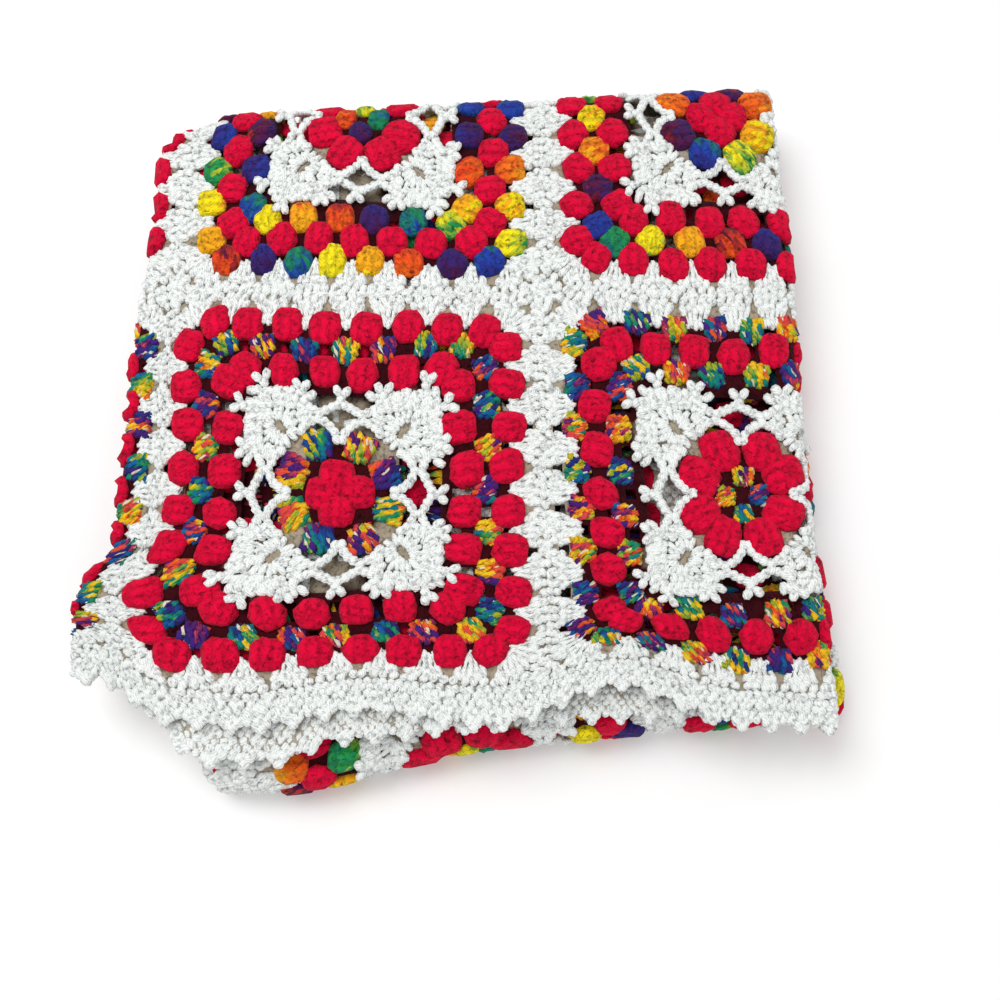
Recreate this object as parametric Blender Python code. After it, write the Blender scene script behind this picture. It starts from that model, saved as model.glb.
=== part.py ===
"""Granny square blanket, folded in three across its width and in three along its length.

The blanket is laid out flat as a grid of square cells in (u, v), its gaps and its picot edging are cut there,
it is given its thickness, and then every point is carried to its place in the folded stack.
u runs across the blanket, v along it from the edge that ends up on top at the front. Metres, +Z up.
"""
import math

import bmesh
import bpy
from mathutils import Vector

# ---- sizes of the flat blanket ----
COLUMNS = 4
ROWS = 5
SQUARE = 0.240                      # side of one joined square
EDGING = 0.024                      # width of the edging, picots included
PICOT = 0.006                       # how far a picot stands out
PICOT_PITCH = 0.024                 # about one picot each this far
SHORTEST_PICOT_EDGE = 0.0144        # an edge in a fold that is shorter has none
SEAM_GAP = 0.0006                   # between the edging and the joined squares
THICK = 0.0035
WIDTH = COLUMNS * SQUARE + 2 * EDGING
LENGTH = ROWS * SQUARE + 2 * EDGING

# ---- one square, in shares of its side, measured from its middle ----
CELL_LINES = (-0.50, -0.25, -0.06, 0.06, 0.25)
MIDDLE_CELL = 3                                                  # the third cell of each row
FAN_EYES = ((-1, -1), (-1, 1), (1, -1), (1, 1))                  # columns and rows of cells, 0 in the middle
ROUND_GAPS = ((-2, -1), (-2, 1), (2, -1), (2, 1), (-1, -2), (1, -2), (-1, 2), (1, 2))
GAP_SIZE = 0.009                    # a gap between the clusters
SMALLEST_CUT_CELL = 0.020           # a narrower cell lies in a fold, where its gap is shut

# ---- the folded stack ----
LAYER = 0.006                       # from the middle of one layer to the next
SIDE_BEND_LEFT = LAYER / 2          # the left flap turns in just under the top layer
SIDE_BEND_RIGHT = LAYER             # the right flap lies below it
ROW_STRETCH = 0.10                  # the cloth is pulled longer between the first two rows
INNER_BEND = 0.75 * LAYER           # radius of the inner layer in the two cross folds
FOLD_REACH = INNER_BEND + 2 * LAYER
TOP_THIRD = 4 * INNER_BEND + 4 * LAYER      # height of the lowest layer in the top third
BACK_FOLD = {"x": 0.080, "y": 0.265, "turn": math.radians(3.2), "height": TOP_THIRD - INNER_BEND}
FRONT_FOLD = {"x": 0.160, "y": -0.121, "turn": math.radians(4.6), "height": FOLD_REACH}
FRONT_BULGE = {"x": -0.034, "spread": 0.075, "push": 0.017, "from_y": 0.010, "to_y": -0.125}
STACK_MIDDLE = (0.07183, 0.06061)   # middle of the stack's footprint, which goes to the origin

# Where the side folds run. "along" is the way along the blanket from the middle of its first row.
SIDE_FOLDS = (
    # along,   left,   right
    (-0.150, -0.141, 0.285),
    (0.010, -0.141, 0.277),
    (0.130, -0.140, 0.281),
    (0.290, -0.139, 0.276),
    (0.700, -0.124, 0.248),
    (1.150, -0.126, 0.248),
)
# How far the left side of the stack is pushed in, from its front to its back.
LEFT_SIDE = (
    # y,      in
    (-0.150, -0.007),
    (-0.080, -0.011),
    (-0.020, 0.001),
    (0.070, -0.001),
    (0.130, 0.002),
    (0.270, 0.018),
)
LEFT_SIDE_FROM = -0.010             # the push starts here and is full at the left side
LEFT_SIDE_WIDTH = 0.120
# How the first edge lies: how far each place across the blanket is set back from a straight edge.
FIRST_EDGE = (
    # across,  back
    (0.000, 0.004),
    (0.100, -0.004),
    (0.130, -0.016),
    (0.168, -0.016),
    (0.222, 0.030),
    (0.254, 0.030),
    (0.300, 0.006),
    (0.335, 0.002),
    (0.400, 0.012),
    (0.470, 0.003),
    (0.545, 0.026),
    (0.615, 0.004),
    (0.660, 0.002),
    (0.720, 0.010),
    (1.008, 0.004),
)
EDGE_WARP = 0.170                   # the warp of the first edge dies out over this length
CROWN = {"share": 0.045, "turns_x": 9.0, "start_x": 1.2, "turns_y": 8.0, "start_y": -0.6}
FRONT_CORNER = {"share": 0.10, "from_x": 0.160, "from_y": -0.020, "width": 0.140}   # it has sunk the most

# Where the cloth turns, the grid lines of the flat blanket lie closer together.
FOLD_LINES = {
    # name:        axis, start,  end,    pitch,  closest to another line
    "left side": ("u", 0.2330, 0.2635, 0.0031, 0.0022),
    "right side": ("u", 0.6200, 0.6850, 0.0082, 0.0022),
    "back": ("v", 0.3740, 0.4490, 0.0084, 0.0040),
    "front": ("v", 0.8160, 0.8890, 0.0084, 0.0040),
}
NORMAL_STEP = 0.0005                # for the direction of the cloth's face
TINY = 1e-6

SQUARES_FINISH = {"colour": (0.86, 0.86, 0.82, 1.0), "roughness": 0.92}
EDGING_FINISH = {"colour": (0.93, 0.93, 0.90, 1.0), "roughness": 0.92}


def smooth(value):
    """Rise from 0 to 1 with level ends."""
    value = min(max(value, 0.0), 1.0)
    return value * value * (3 - 2 * value)


def read_table(table, column, at):
    """Value of a table's column at a place, smooth between its rows."""
    if at <= table[0][0]:
        return table[0][column]
    for low, high in zip(table, table[1:]):
        if at <= high[0]:
            share = smooth((at - low[0]) / (high[0] - low[0]))
            return low[column] + share * (high[column] - low[column])
    return table[-1][column]


def way_along(u, v):
    """Distance along the strip of a flat point, with the stretch and the uneven first edge."""
    from_row = v - EDGING - SQUARE / 2
    along = from_row + ROW_STRETCH * min(max(from_row, 0.0), SQUARE)
    set_back = read_table(FIRST_EDGE, 1, u)
    edge = -EDGING - SQUARE / 2
    return along + set_back * smooth(1 - (along - edge) / EDGE_WARP)


def side_folds(u, along):
    """Section across the strip: place and height of a point once both sides are folded under."""
    across = u - EDGING - 1.5 * SQUARE
    left = read_table(SIDE_FOLDS, 1, along) + SIDE_BEND_LEFT
    right = read_table(SIDE_FOLDS, 2, along) - SIDE_BEND_RIGHT
    top = 2 * LAYER
    if across < left:
        edge, side, radius, past = left, -1, SIDE_BEND_LEFT, left - across
    elif across > right:
        edge, side, radius, past = right, 1, SIDE_BEND_RIGHT, across - right
    else:
        return across, top
    if past < math.pi * radius:
        turned = past / radius
        return edge + side * radius * math.sin(turned), top - radius * (1 - math.cos(turned))
    return edge - side * (past - math.pi * radius), top - 2 * radius


def cross_fold(x, y, z, line, way):
    """Turn what lies past a line on the stack under, around an axis at the line's height."""
    cos, sin = math.cos(line["turn"]), math.sin(line["turn"])
    beside = (x - line["x"]) * cos + (y - line["y"]) * sin
    past = way * ((y - line["y"]) * cos - (x - line["x"]) * sin)
    if past <= 0:
        return x, y, z, False
    radius = z - line["height"]
    turned = past / FOLD_REACH
    if turned < math.pi:
        ahead, z = radius * math.sin(turned), line["height"] + radius * math.cos(turned)
    else:
        ahead, z = math.pi * FOLD_REACH - past, line["height"] - radius
    ahead *= way
    x = line["x"] + beside * cos - ahead * sin
    y = line["y"] + beside * sin + ahead * cos
    return x, y, z, turned >= math.pi


def settled(x, y, height):
    """Height of a layer after the stack has sunk unevenly under its own weight."""
    crown = math.sin(CROWN["turns_x"] * x + CROWN["start_x"])
    crown *= math.cos(CROWN["turns_y"] * y + CROWN["start_y"])
    corner = smooth((x - FRONT_CORNER["from_x"]) / FRONT_CORNER["width"])
    corner *= smooth((FRONT_CORNER["from_y"] - y) / FRONT_CORNER["width"])
    return height * (1 + CROWN["share"] * crown - FRONT_CORNER["share"] * corner)


def folded(u, v):
    """Middle of the cloth at a flat point, in the folded stack."""
    along = way_along(u, v)
    x, level = side_folds(u, along)
    x, y, z, under = cross_fold(x, along, level + TOP_THIRD, BACK_FOLD, 1)
    if under:
        x, y, z, _ = cross_fold(x, y, z, FRONT_FOLD, -1)
        near = math.exp(-((x - FRONT_BULGE["x"]) / FRONT_BULGE["spread"]) ** 2)
        reach = smooth((FRONT_BULGE["from_y"] - y) / (FRONT_BULGE["from_y"] - FRONT_BULGE["to_y"]))
        y -= FRONT_BULGE["push"] * near * reach
    x += read_table(LEFT_SIDE, 1, y) * smooth((LEFT_SIDE_FROM - x) / LEFT_SIDE_WIDTH)
    z = settled(x, y, z) + THICK / 2
    return Vector((x - STACK_MIDDLE[0], y - STACK_MIDDLE[1], z))


def folded_face(u, v, lift):
    """A point on the cloth's face, lifted off its middle."""
    across = folded(u + NORMAL_STEP, v) - folded(u - NORMAL_STEP, v)
    onward = folded(u, v + NORMAL_STEP) - folded(u, v - NORMAL_STEP)
    return folded(u, v) + lift * across.cross(onward).normalized()


def square_lines(count):
    """Grid lines of a row of squares, with its last edge."""
    lines = []
    for square in range(count):
        middle = EDGING + (square + 0.5) * SQUARE
        lines += [middle + share * SQUARE for share in CELL_LINES]
    return lines + [EDGING + count * SQUARE]


def grid_lines(axis, count):
    """Lines of the squares along one axis, with the extra ones where the cloth turns."""
    lines = square_lines(count)
    for fold_axis, start, end, pitch, closest in FOLD_LINES.values():
        if fold_axis != axis:
            continue
        steps = math.ceil((end - start) / pitch)
        for step in range(steps + 1):
            line = start + (end - start) * step / steps
            if min(abs(line - other) for other in lines) > closest:
                lines.append(line)
    return sorted(lines)


def flat_sheet(across, along):
    """A flat grid with its lines at the given places."""
    mesh = bmesh.new()
    columns, rows = len(across) - 1, len(along) - 1
    bmesh.ops.create_grid(mesh, x_segments=columns, y_segments=rows, size=1.0)
    for vert in mesh.verts:
        column, row = round((vert.co.x + 1) / 2 * columns), round((vert.co.y + 1) / 2 * rows)
        vert.co = (across[column], along[row], 0.0)
    return mesh


def cell_of(face):
    """Column and row of a cell within its square, counted from the square's middle cell."""
    middle = face.calc_center_median()
    places = []
    for place in (middle.x, middle.y):
        share = ((place - EDGING) / SQUARE) % 1.0 - 0.5
        places.append(sum(share > line for line in CELL_LINES) - MIDDLE_CELL)
    return tuple(places)


def cut_gaps(mesh):
    """Open the fan eyes and the gaps between the rounds of every square."""
    for face in list(mesh.faces):
        if cell_of(face) not in FAN_EYES + ROUND_GAPS:
            continue
        sides = [edge.calc_length() for edge in face.edges]
        if min(sides) < SMALLEST_CUT_CELL:
            continue
        rim = (min(sides) - GAP_SIZE) / 2
        bmesh.ops.inset_individual(mesh, faces=[face], thickness=rim, use_even_offset=True)
        bmesh.ops.delete(mesh, geom=[face], context="FACES")


def nearest_vert(mesh, place):
    """The corner of the mesh that lies at a place."""
    return min(mesh.verts, key=lambda vert: (vert.co - place).length_squared)


def outward(place):
    """Direction out of the flat blanket at a point of the edging's outline."""
    x = -1.0 if place.x < PICOT + TINY else float(place.x > WIDTH - PICOT - TINY)
    y = -1.0 if place.y < PICOT + TINY else float(place.y > LENGTH - PICOT - TINY)
    return Vector((x, y, 0.0))


def add_picots(mesh, outline):
    """Cut each edge of the outline in pieces and pull one of each three out as a picot."""
    for edge in outline:
        length = edge.calc_length()
        if length < SHORTEST_PICOT_EDGE:
            continue
        count = max(1, round(length / PICOT_PITCH))
        start, end = (vert.co.copy() for vert in edge.verts)
        bmesh.ops.subdivide_edges(mesh, edges=[edge], cuts=3 * count - 1)
        for picot in range(count):
            shares = ((3 * picot + 1) / (3 * count), (3 * picot + 2) / (3 * count))
            base = [nearest_vert(mesh, start.lerp(end, share)) for share in shares]
            pulled = bmesh.ops.extrude_edge_only(mesh, edges=[mesh.edges.get(base)])["geom"]
            tips = [item for item in pulled if isinstance(item, bmesh.types.BMVert)]
            way_out = outward((base[0].co + base[1].co) / 2)
            bmesh.ops.translate(mesh, verts=tips, vec=way_out * PICOT)


def thicken_and_fold(mesh):
    """Give a flat sheet its thickness and carry it to its place in the stack."""
    bmesh.ops.triangulate(mesh, faces=mesh.faces[:])
    top = bmesh.ops.extrude_face_region(mesh, geom=mesh.faces[:], use_keep_orig=True)["geom"]
    top_verts = {item for item in top if isinstance(item, bmesh.types.BMVert)}
    for vert in mesh.verts:
        vert.co.z = THICK / 2 if vert in top_verts else -THICK / 2
    bmesh.ops.recalc_face_normals(mesh, faces=mesh.faces[:])
    bmesh.ops.triangulate(mesh, faces=mesh.faces[:])
    for vert in mesh.verts:
        vert.co = folded_face(vert.co.x, vert.co.y, vert.co.z)


def finish(name, mesh, finish_values, collection):
    """Turn a bmesh into a named object with its own material."""
    data = bpy.data.meshes.new(name)
    mesh.to_mesh(data)
    mesh.free()
    material = bpy.data.materials.new(name)
    material.use_nodes = True
    shader = material.node_tree.nodes["Principled BSDF"]
    shader.inputs["Base Color"].default_value = finish_values["colour"]
    shader.inputs["Roughness"].default_value = finish_values["roughness"]
    data.materials.append(material)
    piece = bpy.data.objects.new(name, data)
    collection.objects.link(piece)
    return piece


def make_squares(collection):
    """The joined squares, one sheet of crochet."""
    mesh = flat_sheet(grid_lines("u", COLUMNS), grid_lines("v", ROWS))
    cut_gaps(mesh)
    thicken_and_fold(mesh)
    return finish("joined_squares", mesh, SQUARES_FINISH, collection)


def make_edging(collection):
    """The edging worked round the squares, a closed strip with picots on its outer edge."""
    inner = EDGING - SEAM_GAP
    across = [PICOT, inner] + grid_lines("u", COLUMNS)[1:-1] + [WIDTH - inner, WIDTH - PICOT]
    along = [PICOT, inner] + grid_lines("v", ROWS)[1:-1] + [LENGTH - inner, LENGTH - PICOT]
    mesh = flat_sheet(across, along)

    def within(place):
        return inner - TINY < place.x < WIDTH - inner + TINY and inner - TINY < place.y < LENGTH - inner + TINY

    middle = [face for face in mesh.faces if within(face.calc_center_median())]
    bmesh.ops.delete(mesh, geom=middle, context="FACES")
    outline = [
        edge for edge in mesh.edges
        if edge.is_boundary and not all(within(vert.co) for vert in edge.verts)
    ]
    add_picots(mesh, outline)
    thicken_and_fold(mesh)
    return finish("picot_edging", mesh, EDGING_FINISH, collection)


def main():
    for item in list(bpy.data.objects):
        bpy.data.objects.remove(item, do_unlink=True)
    collection = bpy.data.collections.new("Granny_square_blanket")
    bpy.context.scene.collection.children.link(collection)
    make_squares(collection)
    make_edging(collection)


main()
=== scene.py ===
import math
from functools import partial

import bmesh
import bpy
import numpy as np
from mathutils import Matrix, Vector


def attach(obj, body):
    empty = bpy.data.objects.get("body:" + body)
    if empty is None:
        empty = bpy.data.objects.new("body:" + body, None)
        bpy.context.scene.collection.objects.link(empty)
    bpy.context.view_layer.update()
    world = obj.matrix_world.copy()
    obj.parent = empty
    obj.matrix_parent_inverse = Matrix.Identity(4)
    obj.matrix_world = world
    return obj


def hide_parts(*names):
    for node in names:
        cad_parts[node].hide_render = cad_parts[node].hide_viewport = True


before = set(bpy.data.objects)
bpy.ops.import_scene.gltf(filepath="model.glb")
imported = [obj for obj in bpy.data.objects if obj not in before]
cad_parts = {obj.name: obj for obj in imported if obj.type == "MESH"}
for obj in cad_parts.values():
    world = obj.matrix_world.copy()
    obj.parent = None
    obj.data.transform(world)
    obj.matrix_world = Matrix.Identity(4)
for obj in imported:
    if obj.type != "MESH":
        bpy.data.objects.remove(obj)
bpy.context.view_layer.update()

# Flat, the blanket lies in u (across) and v (along, from the edge that ends up on top at the front).
# Stitches are laid out flat, with a lift off the middle of the cloth, and then folded into the stack.
blanket = {"columns": 4, "rows": 5, "square": 0.240, "edging": 0.024, "thick": 0.0035, "seed": 11}
flatWidth = blanket["columns"] * blanket["square"] + 2 * blanket["edging"]
flatLength = blanket["rows"] * blanket["square"] + 2 * blanket["edging"]
dice = np.random.default_rng(blanket["seed"])

layer = 0.006
stack = {
    "leftBend": 0.5 * layer, "rightBend": layer, "rowStretch": 0.10, "innerBend": 0.75 * layer,
    "middle": (0.07183, 0.06061), "edgeWarp": 0.092,
    "leftFrom": -0.010, "leftWidth": 0.120,
    "crownShare": 0.045, "crownX": (9.0, 1.2), "crownY": (8.0, -0.6),
    "cornerShare": 0.10, "cornerFrom": (0.160, -0.020), "cornerWidth": 0.140,
    "overFloor": 0.0001,
}
foldReach = stack["innerBend"] + 2 * layer
topThird = 4 * stack["innerBend"] + 4 * layer
backFold = {"x": 0.080, "y": 0.265, "turn": math.radians(3.2), "way": 1,
            "height": topThird - stack["innerBend"]}
frontFold = {"x": 0.160, "y": -0.121, "turn": math.radians(4.6), "height": foldReach, "way": -1}
frontBulge = {"x": -0.034, "spread": 0.075, "push": 0.017, "fromY": 0.010, "toY": -0.125}
sideFoldLines = np.array((      # along, left, right
    (-0.150, -0.141, 0.285), (0.010, -0.141, 0.277), (0.130, -0.140, 0.281),
    (0.290, -0.139, 0.276), (0.700, -0.124, 0.248), (1.150, -0.126, 0.248)))
leftSide = np.array((           # y, pushed in
    (-0.150, -0.007), (-0.066, -0.013), (-0.028, 0.006), (0.012, 0.005), (0.110, 0.004), (0.190, 0.008),
    (0.231, 0.006), (0.270, 0.008)))
# the back left corner is rounded, around this place in the finished stack
backCorner = {"x": -0.1545, "y": 0.1635, "radius": 0.048, "square": 8}
firstEdge = np.array((          # across, set back
    (0.000, 0.004), (0.100, -0.004), (0.130, -0.016), (0.168, -0.016), (0.222, 0.030), (0.254, 0.030),
    (0.300, 0.006), (0.335, 0.002), (0.400, 0.012), (0.470, 0.003), (0.545, 0.026), (0.615, 0.004),
    (0.660, 0.002), (0.720, 0.010), (1.008, 0.004)))


def smooth(value):
    value = np.clip(value, 0.0, 1.0)
    return value * value * (3 - 2 * value)


def readTable(table, column, at):
    place = np.clip(at, table[0, 0], table[-1, 0])
    low = np.clip(np.searchsorted(table[:, 0], place, side="right") - 1, 0, len(table) - 2)
    share = smooth((place - table[low, 0]) / (table[low + 1, 0] - table[low, 0]))
    return table[low, column] + share * (table[low + 1, column] - table[low, column])


def wayAlong(u, v):
    fromRow = v - blanket["edging"] - blanket["square"] / 2
    along = fromRow + stack["rowStretch"] * np.clip(fromRow, 0.0, blanket["square"])
    edge = -blanket["edging"] - blanket["square"] / 2
    return along + readTable(firstEdge, 1, u) * smooth(1 - (along - edge) / stack["edgeWarp"])


def sideFolds(u, along):
    across = u - blanket["edging"] - 1.5 * blanket["square"]
    left = readTable(sideFoldLines, 1, along) + stack["leftBend"]
    right = readTable(sideFoldLines, 2, along) - stack["rightBend"]
    side = np.where(across < left, -1.0, 1.0)
    edge = np.where(across < left, left, right)
    radius = np.where(across < left, stack["leftBend"], stack["rightBend"])
    past = np.where(across < left, left - across, across - right)
    turned = np.clip(past / radius, 0.0, math.pi)
    beyond = np.maximum(past - math.pi * radius, 0.0)
    x = np.where(past > 0, edge + side * (radius * np.sin(turned) - beyond), across)
    level = np.where(past > 0, 2 * layer - radius * (1 - np.cos(turned)), 2 * layer)
    return x, level


def crossFold(x, y, z, line):
    cos, sin, way = math.cos(line["turn"]), math.sin(line["turn"]), line["way"]
    beside = (x - line["x"]) * cos + (y - line["y"]) * sin
    past = way * ((y - line["y"]) * cos - (x - line["x"]) * sin)
    radius = z - line["height"]
    turned = np.clip(past / foldReach, 0.0, math.pi)
    ahead = way * np.where(past < math.pi * foldReach, radius * np.sin(turned), math.pi * foldReach - past)
    newX = line["x"] + beside * cos - ahead * sin
    newY = line["y"] + beside * sin + ahead * cos
    newZ = line["height"] + radius * np.cos(turned)
    folded, under = past > 0, past >= math.pi * foldReach
    return np.where(folded, newX, x), np.where(folded, newY, y), np.where(folded, newZ, z), under


def settled(x, y, height):
    crown = np.sin(stack["crownX"][0] * x + stack["crownX"][1])
    crown *= np.cos(stack["crownY"][0] * y + stack["crownY"][1])
    corner = smooth((x - stack["cornerFrom"][0]) / stack["cornerWidth"])
    corner *= smooth((stack["cornerFrom"][1] - y) / stack["cornerWidth"])
    return height * (1 + stack["crownShare"] * crown - stack["cornerShare"] * corner)


def roundCorner(x, y):
    towardsX = np.maximum(backCorner["x"] - x, 0.0) / backCorner["radius"]
    towardsY = np.maximum(y - backCorner["y"], 0.0) / backCorner["radius"]
    reach = np.maximum(np.hypot(towardsX, towardsY), 1e-9)
    square = backCorner["square"]
    squareReach = (towardsX ** square + towardsY ** square) ** (1 / square)
    inCorner = (towardsX > 0) & (towardsY > 0)
    cut = np.where(inCorner, smooth(squareReach) * (1 - squareReach / reach), 0.0) * backCorner["radius"]
    return x + cut * towardsX, y - cut * towardsY


def foldMiddle(u, v):
    along = wayAlong(u, v)
    x, level = sideFolds(u, along)
    x, y, z, under = crossFold(x, along, level + topThird, backFold)
    frontX, frontY, frontZ, _ = crossFold(x, y, z, frontFold)
    near = np.exp(-((frontX - frontBulge["x"]) / frontBulge["spread"]) ** 2)
    frontY = frontY - frontBulge["push"] * near * smooth(
        (frontBulge["fromY"] - frontY) / (frontBulge["fromY"] - frontBulge["toY"]))
    x, y, z = np.where(under, frontX, x), np.where(under, frontY, y), np.where(under, frontZ, z)
    x = x + readTable(leftSide, 1, y) * smooth((stack["leftFrom"] - x) / stack["leftWidth"])
    z = settled(x, y, z) + blanket["thick"] / 2
    x, y = roundCorner(x - stack["middle"][0], y - stack["middle"][1])
    return np.stack((x, y, z), axis=1)


def foldFace(u, v, lift, step=0.0005):
    across = foldMiddle(u + step, v) - foldMiddle(u - step, v)
    onward = foldMiddle(u, v + step) - foldMiddle(u, v - step)
    normal = np.cross(across, onward)
    normal /= np.maximum(np.linalg.norm(normal, axis=1, keepdims=True), 1e-12)
    place = foldMiddle(u, v) + lift[:, None] * normal
    place[:, 2] = np.maximum(place[:, 2], stack["overFloor"])      # what lies on the floor is pressed flat
    return place


def between(value, low, high, soft):
    return smooth((value - low) / soft + 0.5) * smooth((high - value) / soft + 0.5)


# parts of the flat blanket where nothing lies on the good side of the cloth, from and to along u or v
bare = {
    "topU": (0.222, 0.690), "topV": (-1.0, 0.455), "soft": 0.02,
    "frontV": (0.805, 0.892), "frontLeftU": (-1, 0.236), "frontRightU": (0.655, 2),
    "leftU": (0.226, 0.270), "rightU": (0.612, 0.700), "sideSoft": 0.01,
    # how high stitches stand where a layer presses on them, how much higher where none does, and at the back
    "pressed": 0.55, "free": 0.45, "behind": 0.9,
}
# parts that get the fine stitches
fine = {
    "topU": (0.21, 0.70), "topUpTo": 0.48, "edgeUpTo": 0.05,
    "lowerV": (0.79, 0.93), "lowerLeftUpTo": 0.29, "lowerRightFrom": 0.59,
    "leftU": (0.225, 0.275), "rightU": (0.61, 0.70),
}


def roomAbove(u, v):
    soft, sideSoft = bare["soft"], bare["sideSoft"]
    top = between(u, *bare["topU"], soft) * between(v, *bare["topV"], soft)
    ends = np.maximum(between(u, *bare["frontLeftU"], soft), between(u, *bare["frontRightU"], soft))
    front = between(v, *bare["frontV"], soft) * ends
    sides = np.maximum(between(u, *bare["leftU"], sideSoft), between(u, *bare["rightU"], sideSoft))
    return bare["pressed"] + bare["free"] * np.maximum(np.maximum(top, front), sides)


def isWithin(value, ends):
    return ends[0] < value < ends[1]


def isShown(u, v):
    top = (isWithin(u, fine["topU"]) and v < fine["topUpTo"]) or v < fine["edgeUpTo"]
    lower = (u < fine["lowerLeftUpTo"] or u > fine["lowerRightFrom"]) and isWithin(v, fine["lowerV"])
    return top or lower or isWithin(u, fine["leftU"]) or isWithin(u, fine["rightU"])


# stitches
stitchShapes = {
    # along the strand, thickness, in metres
    "strand": ((-0.0092, 0.0013), (-0.0068, 0.0020), (-0.0022, 0.0023), (0.0022, 0.0024),
               (0.0064, 0.0025), (0.0090, 0.0017)),
    "plainPost": ((-0.0088, 0.0024), (0.0010, 0.0042), (0.0084, 0.0028)),
    "fanPost": ((-0.0084, 0.0010), (-0.0064, 0.0021), (-0.0030, 0.0022), (-0.0004, 0.0016),
                (0.0034, 0.0027), (0.0064, 0.0026), (0.0086, 0.0015)),
    "plainFanPost": ((-0.0080, 0.0018), (0.0000, 0.0030), (0.0082, 0.0036)),
    # posts, how far out the outer ones stand at the middle, their lean, flattened to,
    # strands in a post, their twist, its radius
    "dyed": (4, 0.0060, 0.10, 0.98, 2, 1.60, 0.0015),
    "plainDyed": (3, 0.0050, 0.16, 0.60, 1, 0.0, 0.0),
    "fan": (5, 0.0064, 0.25, 0.90, 1, 0.0, 0.0),
    "plainFan": (3, 0.0062, 0.25, 0.70, 1, 0.0, 0.0),
    # the strands of a post: the length of their twist, how much nearer they come at their ends, over what
    # length, how much shorter the outer posts are, and how far every second one steps out
    "twistLength": 0.009, "endsNearer": 0.55, "nearerOver": 0.0095, "outerShorter": 0.13, "step": 0.0009,
    # half its width, length and height, then how square it is and how deep the creases between its posts are
    "puff": (0.0102, 0.0106, 0.0044, 0.62, 0.20),
    "corners": {6: 0.030, 4: -0.072},      # how far its outline swells, by the number of its corners
    "creases": 3, "puffTaper": 0.06,
    "lumps": 0.00036, "puffLumps": 0.8, "stitchLumps": 0.5,
    "kinds": 4, "seedStep": 0.618,
    "stitchSize": (0.0029, 0.0034, 0.0026),
}


def makeRope(sections, sides):
    # a closed length of yarn along Y
    rope = bmesh.new()
    (start, first), (end, second) = sections[:2]
    stand = Matrix.Translation((0, (start + end) / 2, 0)) @ Matrix.Rotation(-math.pi / 2, 4, "X")
    bmesh.ops.create_cone(rope, cap_ends=True, segments=sides, radius1=first, radius2=second,
                          depth=end - start, matrix=stand)
    for (place, thickness), (ahead, nextThickness) in zip(sections[1:], sections[2:]):
        cap = max(rope.faces, key=lambda face: face.calc_center_median().y)
        cap = bmesh.ops.extrude_discrete_faces(rope, faces=[cap])["faces"][0]
        bmesh.ops.translate(rope, verts=cap.verts, vec=(0, ahead - place, 0))
        share = nextThickness / thickness
        bmesh.ops.scale(rope, verts=cap.verts, vec=(share, 1, share))
    return rope


def keepShape(shape, strands=None):
    bmesh.ops.recalc_face_normals(shape, faces=shape.faces)
    mesh = bpy.data.meshes.new("stitch")
    shape.to_mesh(mesh)
    shape.free()
    places = np.empty(3 * len(mesh.vertices))
    corners = np.empty(len(mesh.loops), dtype=np.int32)
    sizes = np.empty(len(mesh.polygons), dtype=np.int32)
    mesh.vertices.foreach_get("co", places)
    mesh.loops.foreach_get("vertex_index", corners)
    mesh.polygons.foreach_get("loop_total", sizes)
    strands = np.zeros(len(mesh.vertices)) if strands is None else np.array(strands)
    bpy.data.meshes.remove(mesh)
    return {"places": places.reshape(-1, 3), "corners": corners, "sizes": sizes, "strands": strands}


def makeCluster(post, layout, sides):
    # posts worked into one place, closer together at the foot: each one strand, or two that twist together
    count, out, lean, flatten, strandsEach, twist, radius = stitchShapes[layout]
    cluster = bmesh.new()
    strandMesh = bpy.data.meshes.new("strand")
    rope = makeRope(stitchShapes[post], sides)
    rope.to_mesh(strandMesh)
    rope.free()
    strands = []
    for place in range(count):
        share = 2 * place / (count - 1) - 1
        start = dice.random() * math.pi
        for strand in range(strandsEach):
            known = len(cluster.verts)
            cluster.from_mesh(strandMesh)
            cluster.verts.ensure_lookup_table()
            for vert in cluster.verts[known:]:
                y = vert.co.y
                phase = start + math.pi * (strand + twist * y / stitchShapes["twistLength"])
                closer = radius * (1 - stitchShapes["endsNearer"] * (y / stitchShapes["nearerOver"]) ** 2)
                shorter = 1 - stitchShapes["outerShorter"] * abs(share)
                vert.co.x += share * (out + lean * y) + closer * math.cos(phase)
                vert.co.y = y * shorter + stitchShapes["step"] * (place % 2)
                vert.co.z = flatten * (vert.co.z + closer * math.sin(phase))
            strands += [place * strandsEach + strand] * (len(cluster.verts) - known)
    bpy.data.meshes.remove(strandMesh)
    for vert in cluster.verts:
        vert.co += Vector(dice.normal(0, stitchShapes["lumps"], 3))
    return keepShape(cluster, strands)


def makePuff(around, rings, sides):
    # a full cluster whose posts have drawn together: rounded at its corners, with faint creases
    wide, tall, high, squareness, crease = stitchShapes["puff"]
    puff = bmesh.new()
    bmesh.ops.create_uvsphere(puff, u_segments=around, v_segments=rings, radius=1.0)
    for vert in puff.verts:
        x, y, z = vert.co
        reach = math.hypot(x, y)
        fuller = reach ** squareness / reach if reach > 0 else 1.0
        corners = 1 + stitchShapes["corners"][sides] * math.cos(sides * math.atan2(y, x)) * reach
        dent = 1 - crease * (0.5 - 0.5 * math.cos(stitchShapes["creases"] * math.pi * x)) * (1 - reach)
        taper = 1 + stitchShapes["puffTaper"] * y
        vert.co = (wide * fuller * corners * x * taper, tall * fuller * corners * y, high * z * dent)
        vert.co += Vector(dice.normal(0, stitchShapes["puffLumps"] * stitchShapes["lumps"], 3))
    return keepShape(puff)


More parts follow.
